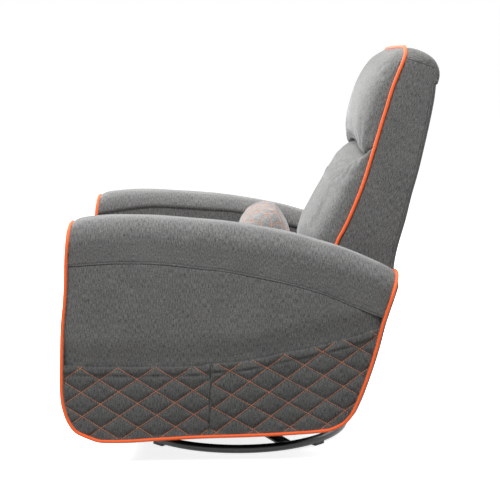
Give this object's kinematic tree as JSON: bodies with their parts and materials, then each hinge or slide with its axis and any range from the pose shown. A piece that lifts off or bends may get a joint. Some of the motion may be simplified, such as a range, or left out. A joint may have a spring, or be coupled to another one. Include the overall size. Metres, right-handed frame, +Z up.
{
  "type": "swivel glider recliner armchair",
  "caption": "Padded armchair on a round tube base that swivels, glides, reclines and unfolds a footrest, with quilted side pockets, contrast piping and a loose lumbar pillow.",
  "frame": {"origin": "on the floor, under the middle of the chair's bounding box", "axes": "+Z up; the chair faces -Y; the sitter's left side is +X"},
  "size_m": [0.781, 0.947, 1.041],
  "materials": {
    "grey_fabric": "heather grey woven upholstery",
    "dark_fabric": "heather grey woven upholstery in shade",
    "light_fabric": "light heather grey woven upholstery",
    "quilted_fabric": "quilted heather grey fabric with orange stitching",
    "orange_piping": "bright orange piping cord",
    "plywood": "bare plywood and softwood",
    "black_steel": "satin black powder coat",
    "zinc_steel": "zinc-plated steel",
    "black_plastic": "moulded black plastic"
  },
  "bodies": {
    "base": {"base_ring": "black_steel", "base_crossbars": "black_steel", "floor_glide_1": "black_plastic", "floor_glide_2": "black_plastic", "floor_glide_3": "black_plastic", "floor_glide_4": "black_plastic", "swivel_pin": "zinc_steel", "lower_race": "zinc_steel", "ball_cage": "zinc_steel"},
    "glide_base": {"swivel_plate": "black_steel", "left_glide_bracket": "black_steel", "right_glide_bracket": "black_steel"},
    "front_links": {"front_glide_links": "zinc_steel"},
    "rear_links": {"rear_glide_links": "zinc_steel"},
    "chassis": {"left_mechanism_rail": "black_steel", "right_mechanism_rail": "black_steel", "front_seat_rail": "plywood", "rear_seat_rail": "plywood", "seat_springs": "zinc_steel", "seat_cushion": "grey_fabric", "rear_panel": "dark_fabric", "left_arm_frame": "plywood", "left_arm_front_pad": "grey_fabric", "left_arm_rear_pad": "grey_fabric", "left_arm_top_pad": "grey_fabric", "left_arm_outer_panel": "grey_fabric", "left_arm_inner_panel": "dark_fabric", "left_arm_piping": "orange_piping", "left_front_pocket": "quilted_fabric", "left_rear_pocket": "quilted_fabric", "right_arm_frame": "plywood", "right_arm_front_pad": "grey_fabric", "right_arm_rear_pad": "grey_fabric", "right_arm_top_pad": "grey_fabric", "right_arm_outer_panel": "grey_fabric", "right_arm_inner_panel": "dark_fabric", "right_arm_piping": "orange_piping", "right_front_pocket": "quilted_fabric", "right_rear_pocket": "quilted_fabric", "handle_cup": "black_plastic", "release_cable": "black_plastic"},
    "release": {"release_handle": "black_plastic"},
    "back": {"left_back_post": "black_steel", "right_back_post": "black_steel", "back_lower_rail": "plywood", "back_top_rail": "plywood", "back_cover": "dark_fabric", "back_piping": "orange_piping", "lower_back_cushion": "light_fabric", "head_cushion": "light_fabric"},
    "footrest_drive": {"footrest_drive_tube": "zinc_steel"},
    "footrest_middle": {"left_footrest_middle_link": "zinc_steel", "right_footrest_middle_link": "zinc_steel"},
    "footrest_front": {"left_footrest_front_link": "zinc_steel", "right_footrest_front_link": "zinc_steel"},
    "footrest_panel": {"footrest_brackets": "zinc_steel", "footrest_board": "plywood", "footrest_pad": "grey_fabric"},
    "pillow": {"lumbar_pillow": "light_fabric"}
  },
  "joints": [
    {"name": "swivel", "type": "hinge", "parent": "base", "child": "glide_base", "pos_m": [0, -0.03346, 0.03], "axis": [0, 0, 1], "continuous": true},
    {"name": "glide", "type": "hinge", "parent": "glide_base", "child": "front_links", "pos_m": [0, -0.16346, 0.235], "axis": [-1, 0, 0], "range_deg": [-12, 12]},
    {"name": "glide_seat", "type": "hinge", "parent": "front_links", "child": "chassis", "pos_m": [0, -0.16346, 0.125], "axis": [-1, 0, 0], "range_deg": [-12, 12]},
    {"name": "glide_rear", "type": "hinge", "parent": "glide_base", "child": "rear_links", "pos_m": [0, 0.09654, 0.235], "axis": [-1, 0, 0], "range_deg": [-12, 12]},
    {"name": "recline", "type": "hinge", "parent": "chassis", "child": "back", "pos_m": [0, 0.17154, 0.325], "axis": [-1, 0, 0], "range_deg": [0, 45]},
    {"name": "footrest", "type": "hinge", "parent": "chassis", "child": "footrest_drive", "pos_m": [0, -0.2035, 0.295], "axis": [-1, 0, 0], "range_deg": [0, 80]},
    {"name": "footrest_middle_pivot", "type": "hinge", "parent": "footrest_drive", "child": "footrest_middle", "pos_m": [0, -0.22994, 0.10685], "axis": [-1, 0, 0], "range_deg": [-136, 0]},
    {"name": "footrest_front_pivot", "type": "hinge", "parent": "footrest_middle", "child": "footrest_front", "pos_m": [0, -0.29493, 0.28539], "axis": [-1, 0, 0], "range_deg": [0, 130]},
    {"name": "footrest_panel_pivot", "type": "hinge", "parent": "footrest_front", "child": "footrest_panel", "pos_m": [0, -0.34089, 0.10103], "axis": [-1, 0, 0], "range_deg": [0, 12]},
    {"name": "release_lever", "type": "hinge", "parent": "chassis", "child": "release", "pos_m": [-0.3826, -0.26346, 0.37], "axis": [0, 0, 1], "range_deg": [0, 25], "stiffness_Nm_per_rad": 0.5},
    {"name": "pillow_lift", "type": "slide", "parent": "chassis", "child": "pillow", "axis": [0, 0, 1], "range_m": [0, 0.25]}
  ],
  "couplings": [
    {"joint": "glide_seat", "follows": "glide", "ratio": -1},
    {"joint": "glide_rear", "follows": "glide", "ratio": 1},
    {"joint": "footrest_middle_pivot", "follows": "footrest", "ratio": -1.7},
    {"joint": "footrest_front_pivot", "follows": "footrest", "ratio": 1.625},
    {"joint": "footrest_panel_pivot", "follows": "footrest", "ratio": 0.15}
  ]
}
